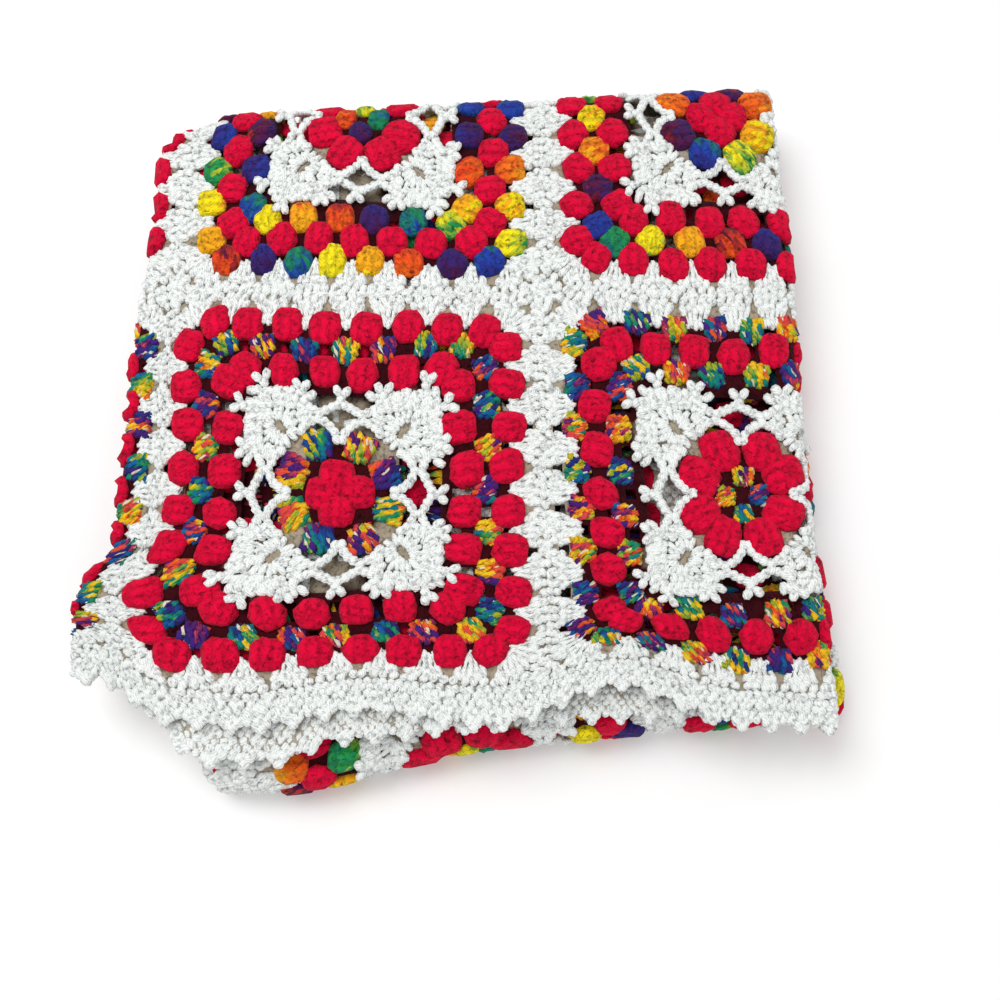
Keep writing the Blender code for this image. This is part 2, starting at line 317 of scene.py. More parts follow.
def makeStitch(around, rings, turn=0.0, size=1.0):
    # a short bulge of yarn along Y
    stitch = bmesh.new()
    stand = Matrix.Rotation(turn, 4, "Y") @ Matrix.Rotation(-math.pi / 2, 4, "X")
    bmesh.ops.create_uvsphere(stitch, u_segments=around, v_segments=rings, radius=size, matrix=stand)
    bmesh.ops.scale(stitch, verts=stitch.verts, vec=stitchShapes["stitchSize"])
    for vert in stitch.verts:
        vert.co += Vector(dice.normal(0, stitchShapes["stitchLumps"] * stitchShapes["lumps"], 3))
    return keepShape(stitch)


# for each: a few fine ones that show, then a plain one for the layers inside the stack
kinds = range(stitchShapes["kinds"])
shapes = {
    "puff": [makePuff(16, 6, 4 if kind else 6) for kind in kinds] + [makePuff(8, 4, 4)],
    "dyed": [makeCluster("strand", "dyed", 5) for _ in kinds] + [makeCluster("plainPost", "plainDyed", 4)],
    "fan": [makeCluster("fanPost", "fan", 5) for _ in kinds] + [makeCluster("plainFanPost", "plainFan", 4)],
    "stitch": [makeStitch(6, 4) for _ in kinds] + [makeStitch(4, 3, math.pi / 4, 1.2)],
}
print("stitches shaped:", {name: [len(shape["sizes"]) for shape in made] for name, made in shapes.items()})


class StitchList:
    # where the stitches of one piece go, flat: u, v, angle, lift, width, length, height, tone, seed, shape
    def __init__(self, kind):
        self.kind = kind
        self.rows = []

    def add(self, u, v, angle, lift, width=1.0, length=1.0, height=1.0, tone=0.0):
        shape = dice.integers(stitchShapes["kinds"]) if isShown(u, v) else stitchShapes["kinds"]
        self.rows.append((u, v, angle, lift, width, length, height, tone, dice.random(), shape))


def turnTo(square, side, a, b):
    # from a square's side (a along it, b outwards) to the flat blanket, with the angle of its outward way
    middleU = blanket["edging"] + (square[0] + 0.5) * blanket["square"]
    middleV = blanket["edging"] + (square[1] + 0.5) * blanket["square"]
    angle = -side * math.pi / 2
    u = middleU + a * math.cos(angle) - b * math.sin(angle)
    v = middleV + a * math.sin(angle) + b * math.cos(angle)
    return u, v, angle


# hand work: nothing is quite straight. Height, turns along u and along v, and start of each wave
waves = {
    "u": ((0.0016, 11, 23, 0.7), (0.0009, -37, 61, 2.1)),
    "v": ((0.0016, 27, -9, 1.9), (0.0009, 53, 41, 0.4)),
    "fromEdge": 0.010, "soft": 0.02,
}
# the join at the left is drawn together: the next squares come nearer,
# and the first one's left side goes the other way
drawnIn = {"by": 0.0070, "from": 0.2800, "width": 0.034, "back": 0.060, "backWidth": 0.130,
           "upTo": 0.300, "fade": 0.070}
pulledOut = {"by": 0.0065, "from": 0.246, "width": 0.034, "past": 0.290, "pastWidth": 0.230,
             "low": 0.040, "lowFade": 0.060, "high": 0.285, "highFade": 0.060}


def sumWaves(u, v, terms):
    return sum(height * np.sin(turnsU * u + turnsV * v + start) for height, turnsU, turnsV, start in terms)


def waver(u, v):
    start, soft = waves["fromEdge"], waves["soft"]
    inner = between(u, start, flatWidth - start, soft) * between(v, start, flatLength - start, soft)
    drawn = drawnIn["by"] * smooth((drawnIn["from"] - u) / drawnIn["width"])
    nearby = smooth((u - drawnIn["back"]) / drawnIn["backWidth"])
    drawn *= nearby * smooth((drawnIn["upTo"] - v) / drawnIn["fade"])
    pulled = pulledOut["by"] * smooth((u - pulledOut["from"]) / pulledOut["width"])
    pulled = pulled * smooth(1 - (u - pulledOut["past"]) / pulledOut["pastWidth"])
    lowEnd = smooth((v - pulledOut["low"]) / pulledOut["lowFade"])
    pulled *= lowEnd * smooth((pulledOut["high"] - v) / pulledOut["highFade"])
    return u + sumWaves(u, v, waves["u"]) * inner + drawn - pulled, v + sumWaves(u, v, waves["v"]) * inner


def joinStitches(name, stitches):
    # all the stitches of one piece, folded into the stack, as one mesh
    places, seeds, tones, corners, sizes = [], [], [], [], []
    count = 0
    table = np.array(stitches.rows, dtype=float)
    for kind, shape in enumerate(shapes[stitches.kind]):
        rows = table[table[:, 9] == kind]
        if not len(rows):
            continue
        own = shape["places"]
        a = own[None, :, 0] * rows[:, 4, None]
        b = own[None, :, 1] * rows[:, 5, None]
        cos, sin = np.cos(rows[:, 2, None]), np.sin(rows[:, 2, None])
        u = rows[:, 0, None] + a * cos - b * sin
        v = rows[:, 1, None] + a * sin + b * cos
        lift = rows[:, 3, None] + own[None, :, 2] * rows[:, 6, None]
        places.append(np.stack((u, v, lift), axis=2).reshape(-1, 3))
        seed = (rows[:, 8, None] + stitchShapes["seedStep"] * shape["strands"][None, :]) % 1.0
        seeds.append(np.stack((a, b, seed), axis=2).reshape(-1, 3))
        tones.append(np.broadcast_to(rows[:, 7, None], a.shape).reshape(-1))
        starts = count + len(own) * np.arange(len(rows))
        corners.append((shape["corners"][None, :] + starts[:, None]).reshape(-1))
        sizes.append(np.tile(shape["sizes"], len(rows)))
        count += len(own) * len(rows)
    places, seeds, tones = np.concatenate(places), np.concatenate(seeds), np.concatenate(tones)
    corners, sizes = np.concatenate(corners), np.concatenate(sizes)
    u, v = waver(places[:, 0], places[:, 1])
    lift = places[:, 2] * np.where(places[:, 2] > 0, roomAbove(u, v), bare["behind"])
    mesh = bpy.data.meshes.new(name)
    mesh.vertices.add(count)
    mesh.vertices.foreach_set("co", foldFace(u, v, lift).ravel())
    mesh.loops.add(len(corners))
    mesh.loops.foreach_set("vertex_index", corners.astype(np.int32))
    mesh.polygons.add(len(sizes))
    mesh.polygons.foreach_set("loop_start", np.concatenate(([0], np.cumsum(sizes)[:-1])).astype(np.int32))
    mesh.polygons.foreach_set("use_smooth", np.ones(len(sizes), dtype=bool))
    mesh.update(calc_edges=True)
    mesh.attributes.new("stitchPlace", "FLOAT_VECTOR", "POINT").data.foreach_set("vector", seeds.ravel())
    mesh.attributes.new("yarnTone", "FLOAT", "POINT").data.foreach_set("value", tones)
    piece = bpy.data.objects.new(name, mesh)
    bpy.context.scene.collection.objects.link(piece)
    print(name, "stitches:", len(stitches.rows), "triangles:", int((sizes - 2).sum()))
    return piece


# yarn
def linkNodes(tree, *pairs):
    for output, target in pairs:
        tree.links.new(output, target)


def addMath(tree, operation, first, second=None):
    node = tree.nodes.new("ShaderNodeMath")
    node.operation = operation
    for socket, value in zip(node.inputs, (first, second)):
        if value is None:
            continue
        if isinstance(value, (int, float)):
            socket.default_value = value
        else:
            tree.links.new(value, socket)
    return node.outputs[0]


def addNoise(tree, values):
    # noise on the object's own coordinates
    noise = tree.nodes.new("ShaderNodeTexNoise")
    where = tree.nodes.new("ShaderNodeTexCoord")
    tree.links.new(where.outputs["Object"], noise.inputs["Vector"])
    for socket, value in values.items():
        noise.inputs[socket].default_value = value
    return noise


# the twist of the plies and the fuzz of the fibres, with painted shade in the grooves between the plies and
# where loops of yarn meet
yarnTwist = {
    "inputs": {"Ply Width": 0.0016, "Ply Slant": 0.6, "Ply Share": 0.6, "Fuzz Scale": 1500.0,
               "Unevenness": 0.25, "Dash Shade": 0.35},
    "fuzz": {"Detail": 3.0}, "patches": {"Scale": 130.0},
    "dashes": {"Scale": 360.0, "Detail": 1.0, "Distortion": 0.6},      # painted shade where loops of yarn meet, and a dent in the bump there
    "bend": 2.5, "seedShift": 7.0, "roundness": 0.6, "dashFrom": 0.50, "dashDepth": -4.0,
    "dashHeight": 0.7, "fuzzHeight": 0.55, "plyShade": 0.3, "darkest": 0.2,
}


def makeYarnGroup():
    # the twist and the fuzz, as a height and a shade: painted shade in the ply grooves and where loops meet,
    # and random unevenness of tone
    group = bpy.data.node_groups.new("yarnTwist", "ShaderNodeTree")
    calc = partial(addMath, group)
    for name, value in yarnTwist["inputs"].items():
        group.interface.new_socket(name, in_out="INPUT", socket_type="NodeSocketFloat").default_value = value
    group.interface.new_socket("Place", in_out="INPUT", socket_type="NodeSocketVector")
    for name in ("Height", "Shade"):
        group.interface.new_socket(name, in_out="OUTPUT", socket_type="NodeSocketFloat")
    inside = group.nodes.new("NodeGroupInput")
    outside = group.nodes.new("NodeGroupOutput")
    parts = group.nodes.new("ShaderNodeSeparateXYZ")
    fuzz, patches, dashes = (addNoise(group, yarnTwist[name]) for name in ("fuzz", "patches", "dashes"))
    linkNodes(group, (inside.outputs["Place"], parts.inputs[0]),
              (inside.outputs["Fuzz Scale"], fuzz.inputs["Scale"]))
    plyShare = inside.outputs["Ply Share"]
    slanted = calc("MULTIPLY", parts.outputs["Y"], inside.outputs["Ply Slant"])
    across = calc("ADD", parts.outputs["X"], slanted)
    turns = calc("DIVIDE", across, inside.outputs["Ply Width"])
    bent = calc("ADD", turns, calc("MULTIPLY", patches.outputs["Fac"], yarnTwist["bend"]))
    shifted = calc("ADD", bent, calc("MULTIPLY", parts.outputs["Z"], yarnTwist["seedShift"]))
    wave = calc("SINE", calc("MULTIPLY", shifted, 2 * math.pi))
    ply = calc("ADD", calc("MULTIPLY", wave, 0.5), 0.5)
    rounded = calc("MULTIPLY", calc("POWER", ply, yarnTwist["roundness"]), plyShare)
    inDash = calc("MAXIMUM", calc("SUBTRACT", yarnTwist["dashFrom"], dashes.outputs["Fac"]), 0.0)
    dashed = calc("MULTIPLY", inDash, yarnTwist["dashDepth"])
    height = calc("ADD", rounded, calc("MULTIPLY", dashed, yarnTwist["dashHeight"]))
    height = calc("ADD", height, calc("MULTIPLY", fuzz.outputs["Fac"], yarnTwist["fuzzHeight"]))
    grey = calc("SUBTRACT", patches.outputs["Fac"], 0.5)
    # painted shade in the grooves between the plies
    shade = calc("ADD", calc("MULTIPLY", calc("SUBTRACT", rounded, plyShare), yarnTwist["plyShade"]), 1.0)
    # painted shade where loops of yarn meet
    shade = calc("ADD", shade, calc("MULTIPLY", dashed, inside.outputs["Dash Shade"]))
    shade = calc("ADD", shade, calc("MULTIPLY", grey, inside.outputs["Unevenness"]))
    shade = calc("MAXIMUM", shade, yarnTwist["darkest"])
    linkNodes(group, (height, outside.inputs["Height"]), (shade, outside.inputs["Shade"]))
    return group


yarnGroup = makeYarnGroup()
yarnFinish = {"sheenRoughness": 0.5, "bumpDistance": 0.0008}
groupValues = {"Ply Width": "plyWidth", "Ply Slant": "plySlant", "Ply Share": "plyShare",
               "Unevenness": "unevenness", "Dash Shade": "dashShade"}


def startYarn(name, values):
    material = bpy.data.materials.new(name)
    material.use_nodes = True
    tree = material.node_tree
    shader = tree.nodes["Principled BSDF"]
    shader.inputs["Roughness"].default_value = values["roughness"]
    shader.inputs["Specular IOR Level"].default_value = values["gloss"]
    shader.inputs["Sheen Weight"].default_value = values["sheen"]
    shader.inputs["Sheen Roughness"].default_value = yarnFinish["sheenRoughness"]
    place = tree.nodes.new("ShaderNodeAttribute")
    place.attribute_name = "stitchPlace"
    twist = tree.nodes.new("ShaderNodeGroup")
    twist.node_tree = yarnGroup
    for socket, value in groupValues.items():
        twist.inputs[socket].default_value = values[value]
    bump = tree.nodes.new("ShaderNodeBump")
    bump.inputs["Strength"].default_value = values["bump"]
    bump.inputs["Distance"].default_value = yarnFinish["bumpDistance"]
    linkNodes(tree, (place.outputs["Vector"], twist.inputs["Place"]),
              (twist.outputs["Height"], bump.inputs["Height"]),
              (bump.outputs["Normal"], shader.inputs["Normal"]))
    return material, tree, shader, place, twist


def shadeColour(tree, colour, shade, target):
    tint = tree.nodes.new("ShaderNodeMix")
    tint.data_type = "RGBA"
    tint.blend_type = "MULTIPLY"
    tint.inputs["Factor"].default_value = 1.0
    grey = tree.nodes.new("ShaderNodeCombineColor")
    for socket in grey.inputs[:3]:
        tree.links.new(shade, socket)
    tree.links.new(grey.outputs[0], tint.inputs["B"])
    if isinstance(colour, tuple):
        tint.inputs["A"].default_value = colour
    else:
        tree.links.new(colour, tint.inputs["A"])
    tree.links.new(tint.outputs["Result"], target)


plainYarn = {
    "white": {"colour": (0.885, 0.915, 0.895, 1), "roughness": 0.9, "gloss": 0.2, "sheen": 0.2,
              "plyWidth": 0.0019, "plySlant": 0.7, "plyShare": 0.55, "unevenness": 0.12, "dashShade": 0.45,
              "bump": 0.60},
    # posts: their width, where the loops along the top start, how wide the creases are and how dark the
    # painted shade in them is, how far they stray
    "red": {"posts": (0.0064, 0.0056, 0.0018, 0.24, 0.0052), "colour": (0.73, 0.0016, 0.040, 1),
            "roughness": 0.95, "gloss": 0.08, "sheen": 0.04, "plyWidth": 0.0021, "plySlant": 0.9,
            "plyShare": 0.26, "unevenness": 0.55, "dashShade": 0.55, "bump": 0.95},
}
creases = {"stray": {"Scale": 300.0}, "widthsAside": 3.5}


def addPosts(tree, place, posts):
    # the creases between a full cluster's posts and under the loops along its top: 0 in one, 1 beside it
    width, top, crease, _, stray = posts
    calc = partial(addMath, tree)
    parts = tree.nodes.new("ShaderNodeSeparateXYZ")
    bends = addNoise(tree, creases["stray"])
    bent = tree.nodes.new("ShaderNodeSeparateColor")
    linkNodes(tree, (place, parts.inputs[0]), (bends.outputs["Color"], bent.inputs[0]))
    strayX, strayY = (calc("MULTIPLY", calc("SUBTRACT", bent.outputs[axis], 0.5), stray) for axis in (0, 1))
    fromPost = calc("ADD", calc("ADD", parts.outputs["X"], strayX), creases["widthsAside"] * width)
    fromCrease = calc("ABSOLUTE", calc("SUBTRACT", calc("MODULO", fromPost, width), width / 2))
    fromPosts = calc("SUBTRACT", width / 2, fromCrease)
    fromTop = calc("ABSOLUTE", calc("SUBTRACT", calc("ADD", parts.outputs["Y"], strayY), top))
    nearest = calc("MINIMUM", fromPosts, fromTop)
    return calc("MINIMUM", calc("DIVIDE", nearest, crease), 1.0)


def raisePosts(tree, shader, place, twist, values):
    # the shade of the yarn, with painted shade in the creases if it has any
    if "posts" not in values:
        return twist.outputs["Shade"]
    raised = addPosts(tree, place.outputs["Vector"], values["posts"])
    height = addMath(tree, "ADD", twist.outputs["Height"], raised)
    tree.links.new(height, shader.inputs["Normal"].links[0].from_node.inputs["Height"])
    # painted shade in the creases between the posts
    creaseShadeDepth = values["posts"][3]
    creaseShade = addMath(tree, "ADD", addMath(tree, "MULTIPLY", raised, creaseShadeDepth), 1 - creaseShadeDepth)
    return addMath(tree, "MULTIPLY", twist.outputs["Shade"], creaseShade)


def makePlainYarn(name):
    values = plainYarn[name]
    material, tree, shader, place, twist = startYarn(name + "Yarn", values)
    shade = raisePosts(tree, shader, place, twist, values)
    shadeColour(tree, values["colour"], shade, shader.inputs["Base Color"])
    return material


colourYarn = {
    # how far apart on the yarn the strands of a cluster lie, the change along a strand, that within a strand,
    # its cells, the share of pale flecks
    "variegated": {"roughness": 0.92, "gloss": 0.12, "sheen": 0.06, "plyWidth": 0.0017, "plySlant": 0.8,
                   "plyShare": 0.5, "unevenness": 0.2, "dashShade": 0.5, "bump": 0.6,
                   "spread": 0.52, "along": 14.0, "mixed": 0.12, "cells": (620.0, 210.0), "fleck": 0.03},
    "rainbow": {"posts": (0.0064, 0.0056, 0.0018, 0.30, 0.0052), "roughness": 0.92, "gloss": 0.12,
                "sheen": 0.06, "plyWidth": 0.0020, "plySlant": 0.9, "plyShare": 0.3,
                "unevenness": 0.4, "dashShade": 0.6, "bump": 0.9,
                "spread": 0.05, "along": 4.0, "mixed": 0.09, "cells": (330.0, 150.0), "fleck": 0.0},
}
# keepPositive shifts the place on the yarn by whole turns, so that it is never below 0
dyeing = {"seedScale": 4000.0, "cellSlant": 0.5, "cellSeed": 97.0, "keepPositive": 4.0,
          "fleckColour": (0.72, 0.66, 0.50, 1)}
dyedColours = {
    "variegated": (
        (0.00, (0.90, 0.42, 0.01, 1)), (0.10, (0.86, 0.62, 0.02, 1)), (0.19, (0.80, 0.10, 0.01, 1)),
        (0.28, (0.72, 0.06, 0.06, 1)), (0.37, (0.10, 0.012, 0.13, 1)), (0.48, (0.06, 0.014, 0.20, 1)),
        (0.58, (0.015, 0.022, 0.15, 1)), (0.68, (0.008, 0.09, 0.34, 1)), (0.78, (0.006, 0.20, 0.20, 1)),
        (0.87, (0.010, 0.27, 0.09, 1)), (0.94, (0.42, 0.46, 0.02, 1))),
    "rainbow": (
        (0.00, (0.95, 0.70, 0.006, 1)), (0.14, (0.93, 0.80, 0.012, 1)), (0.20, (0.02, 0.33, 0.06, 1)),
        (0.32, (0.01, 0.20, 0.12, 1)), (0.38, (0.012, 0.055, 0.40, 1)), (0.50, (0.03, 0.018, 0.18, 1)),
        (0.58, (0.05, 0.010, 0.10, 1)), (0.66, (0.13, 0.006, 0.03, 1)), (0.72, (0.80, 0.05, 0.01, 1)),
        (0.83, (0.90, 0.16, 0.01, 1)), (0.90, (0.95, 0.42, 0.01, 1))),
}


def makeDyedYarn(name):
    # the colour runs along the yarn: each strand takes its own place on it
    values = colourYarn[name]
    material, tree, shader, place, twist = startYarn(name + "Yarn", values)
    calc = partial(addMath, tree)
    parts = tree.nodes.new("ShaderNodeSeparateXYZ")
    join = tree.nodes.new("ShaderNodeCombineXYZ")
    cells = tree.nodes.new("ShaderNodeTexVoronoi")
    cells.inputs["Scale"].default_value = 1.0
    split = tree.nodes.new("ShaderNodeSeparateColor")
    ramp = tree.nodes.new("ShaderNodeValToRGB")
    tone = tree.nodes.new("ShaderNodeAttribute")
    tone.attribute_name = "yarnTone"
    chance = tree.nodes.new("ShaderNodeTexWhiteNoise")
    chance.noise_dimensions = "1D"
    seedNumber = calc("ROUND", calc("MULTIPLY", parts.outputs["Z"], dyeing["seedScale"]))
    slanted = calc("ADD", parts.outputs["X"], calc("MULTIPLY", parts.outputs["Y"], dyeing["cellSlant"]))
    linkNodes(tree, (place.outputs["Vector"], parts.inputs[0]), (seedNumber, chance.inputs["W"]),
              (calc("MULTIPLY", slanted, values["cells"][0]), join.inputs["X"]),
              (calc("MULTIPLY", parts.outputs["Y"], values["cells"][1]), join.inputs["Y"]),
              (calc("MULTIPLY", parts.outputs["Z"], dyeing["cellSeed"]), join.inputs["Z"]),
              (join.outputs[0], cells.inputs["Vector"]), (cells.outputs["Color"], split.inputs[0]))
    spread = calc("MULTIPLY", calc("SUBTRACT", chance.outputs["Value"], 0.5), values["spread"])
    mixed = calc("MULTIPLY", calc("SUBTRACT", split.outputs[0], 0.5), values["mixed"])
    along = calc("MULTIPLY", parts.outputs["Y"], values["along"])
    moved = calc("ADD", calc("ADD", spread, mixed), calc("ADD", along, dyeing["keepPositive"]))
    tree.links.new(calc("FRACT", calc("ADD", tone.outputs["Fac"], moved)), ramp.inputs["Fac"])
    ramp.color_ramp.interpolation = "LINEAR"
    stops = dyedColours[name]
    while len(ramp.color_ramp.elements) < len(stops):
        ramp.color_ramp.elements.new(0.5)
    for element, (position, colour) in zip(ramp.color_ramp.elements, stops):
        element.position = position
        element.color = colour
    fleck = tree.nodes.new("ShaderNodeMix")
    fleck.data_type = "RGBA"
    fleck.inputs["B"].default_value = dyeing["fleckColour"]
    isFleck = calc("LESS_THAN", split.outputs[1], values["fleck"])
    linkNodes(tree, (isFleck, fleck.inputs["Factor"]), (ramp.outputs["Color"], fleck.inputs["A"]))
    shade = raisePosts(tree, shader, place, twist, values)
    shadeColour(tree, fleck.outputs["Result"], shade, shader.inputs["Base Color"])
    return material


yarns = {name: makePlainYarn(name) for name in plainYarn}
yarns.update({name: makeDyedYarn(name) for name in colourYarn})
print("yarns ready:", sorted(yarns))


# the squares' rounds
rounds = {
    # clusters on each side, their pitch, distance from the middle, width and length
    "layout": {"first": (1, 0.0246, 0.0106, 1.06, 1.00), "second": (2, 0.0236, 0.0262, 1.16, 1.16),
               "third": (6, 0.0246, 0.0714, 1.0, 1.0), "fourth": (7, 0.0246, 0.0858, 1.0, 1.0),
               "fifth": (8, 0.0246, 0.0990, 1.0, 1.0)},
    "redLast": {"first": "red", "second": "dyed", "third": "red", "fourth": "dyed", "fifth": "red"},
    "dyedLast": {"first": "dyed", "second": "red", "third": "dyed", "fourth": "red", "fifth": "dyed"},
    "lift": {"red": 0.0009, "variegated": 0.0, "rainbow": 0.0006},
    "size": {"red": (1.03, 1.05), "variegated": (0.92, 0.90), "rainbow": (1.00, 1.00)}, "firstDyed": 0.75,
    "toneStep": {"red": 0.19, "variegated": 0.37, "rainbow": 0.19},
    # how much chance moves, turns, sizes and tones a cluster
    "shift": 0.0009, "turn": 0.10, "sizeScatter": 0.03, "heightScatter": 0.04, "toneScatter": 0.03,
    "cornerTurn": 0.30,
}
clusters = {"red": StitchList("puff"), "variegated": StitchList("dyed"), "rainbow": StitchList("puff")}


def layRounds(square):
    colours = rounds["redLast"] if sum(square) % 2 else rounds["dyedLast"]
    for name, (count, pitch, distance, width, length) in rounds["layout"].items():
        kind = colours[name] if colours[name] == "red" else "rainbow" if square[1] else "variegated"
        start = dice.random()
        for side in range(4):
            for place in range(count):
                fromMiddle = place - (count - 1) / 2
                a = fromMiddle * pitch + dice.normal(0, rounds["shift"])
                u, v, angle = turnTo(square, side, a, distance + dice.normal(0, rounds["shift"]))
                if count > 1 and abs(fromMiddle) == (count - 1) / 2:
                    angle -= math.copysign(rounds["cornerTurn"], fromMiddle)
                step = side * count + place
                tone = start + rounds["toneStep"][kind] * step + dice.normal(0, rounds["toneScatter"])
                ownWidth, ownLength = rounds["size"][kind]
                if name == "first" and kind != "red":
                    ownWidth, ownLength = rounds["firstDyed"] * ownWidth, rounds["firstDyed"] * ownLength
                angle += dice.normal(0, rounds["turn"])
                ownWidth = width * ownWidth * (1 + dice.normal(0, rounds["sizeScatter"]))
                ownLength = length * ownLength * (1 + dice.normal(0, rounds["sizeScatter"]))
                height = 1.0 + dice.normal(0, rounds["heightScatter"])
                clusters[kind].add(u, v, angle, rounds["lift"][kind], ownWidth, ownLength, height, tone % 1.0)


squares = [(column, row) for row in range(blanket["rows"]) for column in range(blanket["columns"])]
for square in squares:
    layRounds(square)

# white join: a fan between each two clusters of the last round, and the tops along the seam
join = {
    "fans": 9, "pitch": 0.0246, "fanDistance": 0.1066, "fanSize": (1.0, 1.0), "fanLift": 0.0002,
    "fanShift": 0.0006, "fanTurn": 0.06, "fanCornerTurn": 0.35,
    # distance, stitches, lean, lift
    "topRows": ((0.1126, 39, 0.40, 0.0004), (0.1164, 40, -0.40, 0.0006)), "topSize": (1.05, 0.98, 1.00),
    "scatter": 0.0005, "turn": 0.40, "sizeScatter": 0.06, "liftScatter": 0.0003,
    "meeting": 0.015, "looser": 2.0,      # near where squares meet at a corner the tops lie looser
    "ridgeLift": 0.0006, "ridgePitch": 0.0056, "ridgeLean": 0.3,
    "holeRow": 0.1135, "hole": 0.0030, "openHoles": 0.2,
    "crossing": 17, "crossingPitch": 0.0033, "crossingTurn": 2.4, "crossingStart": 0.4,
    "crossingInset": 0.008,
}
joinFans, joinTops = StitchList("fan"), StitchList("stitch")


def layJoin(square):
    for side in range(4):
        for place in range(join["fans"]):
            fromMiddle = place - (join["fans"] - 1) / 2
            a = fromMiddle * join["pitch"] + dice.normal(0, join["fanShift"])
            u, v, angle = turnTo(square, side, a, join["fanDistance"] + dice.normal(0, join["fanShift"]))
            if abs(fromMiddle) == (join["fans"] - 1) / 2:
                angle -= math.copysign(join["fanCornerTurn"], fromMiddle)
            joinFans.add(u, v, angle + dice.normal(0, join["fanTurn"]), join["fanLift"], *join["fanSize"])
        for distance, count, lean, lift in join["topRows"]:
            for place in range(count):
                a = (place - (count - 1) / 2) * 2 * distance / count
                fromCluster = abs(a % join["pitch"] - join["pitch"] / 2)
                if distance > join["holeRow"] or fromCluster > join["hole"]:
                    addTop(*turnTo(square, side, a, distance), lean, lift)


def fromSeam(place):
    half = blanket["square"] / 2
    return abs((place - blanket["edging"] + half) % blanket["square"] - half)


def addTop(u, v, angle, lean, lift):
    loose = join["looser"] if max(fromSeam(u), fromSeam(v)) < join["meeting"] else 1.0
    shiftU, shiftV = dice.normal(0, loose * join["scatter"], 2)
    width, length, height = join["topSize"]
    own = 1 + dice.normal(0, join["sizeScatter"])
    turn = angle + lean + dice.normal(0, loose * join["turn"])
    lift += dice.normal(0, join["liftScatter"])
    joinTops.add(u + shiftU, v + shiftV, turn, lift, own * width, own * length, height)


def layRidge(startU, startV, endU, endV):
    length = math.hypot(endU - startU, endV - startV)
    count = round(length / join["ridgePitch"])
    angle = math.atan2(endV - startV, endU - startU) - math.pi / 2
    for place in range(count):
        share = (place + 0.5) / count
        u, v = startU + share * (endU - startU), startV + share * (endV - startV)
        addTop(u, v, angle, join["ridgeLean"], join["ridgeLift"])


def layCrossing(u, v):
    # a round patch of stitches where the corners of the squares meet
    for place in range(join["crossing"]):
        around = join["crossingTurn"] * place
        reach = join["crossingPitch"] * math.sqrt(place + join["crossingStart"])
        angle = dice.random() * math.pi
        addTop(u + reach * math.cos(around), v + reach * math.sin(around), angle, 0.0, join["ridgeLift"])


for square in squares:
    layJoin(square)
edge, side, inset = blanket["edging"], blanket["square"], join["crossingInset"]
for column in range(1, blanket["columns"]):
    layRidge(edge + column * side, edge, edge + column * side, flatLength - edge)
    for row in range(blanket["rows"] + 1):
        v = min(max(edge + row * side, edge + inset), flatLength - edge - inset)
        layCrossing(edge + column * side, v)
for row in range(1, blanket["rows"]):
    layRidge(edge, edge + row * side, flatWidth - edge, edge + row * side)

# lace: a fan of stitches in each corner, chain arches between them and picots outside
lace = {
    "eye": 0.0372,
    # distance from the eye, stitches, widest angle, width, length, lean, lift
    "fanRows": ((0.0092, 17, 2.90, 0.80, 1.40, 0.0, 0.0010), (0.0140, 19, 2.30, 1.02, 0.98, 0.30, 0.0014),
                (0.0178, 22, 2.05, 1.04, 0.96, -0.30, 0.0016), (0.0214, 21, 1.52, 1.04, 0.98, 0.20, 0.0013)),
    "fanSquareness": 0.80, "eyeNarrowing": 0.0030, "fanHeight": 0.95,
    # how much chance moves a stitch of a fan around it and outwards, and turns an upright and a leaning one
    "fanAround": 0.03, "fanOut": 0.02, "uprightTurn": 0.12, "leaningTurn": 0.28, "liftScatter": 0.0003,
    # strands of chain on one side, in (a, b): from the fan over the crossing to the round inside,
    # and out to the middle picot
    "chains": (((-0.0250, 0.0335), (-0.0205, 0.0400), (-0.0135, 0.0428), (-0.0070, 0.0400), (-0.0025, 0.0345),
                (-0.0012, 0.0290)),
               ((-0.0250, 0.0535), (-0.0195, 0.0490), (-0.0130, 0.0465), (-0.0065, 0.0500), (0.0, 0.0530))),
    "chainPitch": 0.0042, "chainLift": 0.0022, "chainSize": (1.14, 0.92, 0.9), "chainAhead": 0.001,
    "chainTurn": 0.10, "chainLiftScatter": 0.0002,
    "picots": (-0.0500, -0.0255, 0.0, 0.0255, 0.0500),
    "picotDistance": (0.0625, 0.0580, 0.0555, 0.0580, 0.0625), "picotShift": 0.001, "picotLean": 0.4,
    # a picot: the lift, spread, length from the base, chance turn and size of its prongs, and its base
    "picotLift": 0.0040, "picotSpread": 0.62, "picotReach": 0.0050, "picotTurn": 0.10,
    "picotSize": (1.04, 1.10, 0.95), "picotBase": (1.15, 0.9, 0.9), "picotBaseLower": 0.0014,
}
laceFans, laceChains = StitchList("stitch"), StitchList("stitch")


def squareReach(angle):
    # how much further a fan reaches towards its corner than to its sides
    nearest = max(abs(math.cos(angle - math.pi / 4)), abs(math.cos(angle + math.pi / 4)))
    return 1 + lace["fanSquareness"] * (1 / nearest - 1) if abs(angle) < math.pi / 2 else 1.0


def layLaceFan(square, corner):
    centreU, centreV, base = turnTo(square, corner, lace["eye"], lace["eye"])
    base -= math.pi / 4
    for distance, count, widest, width, length, lean, lift in lace["fanRows"]:
        for place in range(count):
            turn = widest * (2 * place / (count - 1) - 1)
            angle = base + turn + dice.normal(0, lace["fanAround"])
            reach = distance * squareReach(turn) * (1 + dice.normal(0, lace["fanOut"]))
            if distance == lace["fanRows"][0][0]:
                reach -= lace["eyeNarrowing"] * math.sin(turn) ** 2
            own = angle + lean + dice.normal(0, lace["leaningTurn"] if lean else lace["uprightTurn"])
            ownLift = lift + dice.normal(0, lace["liftScatter"])
            laceFans.add(centreU - reach * math.sin(angle), centreV + reach * math.cos(angle), own, ownLift,
                         width, length * squareReach(turn), lace["fanHeight"])


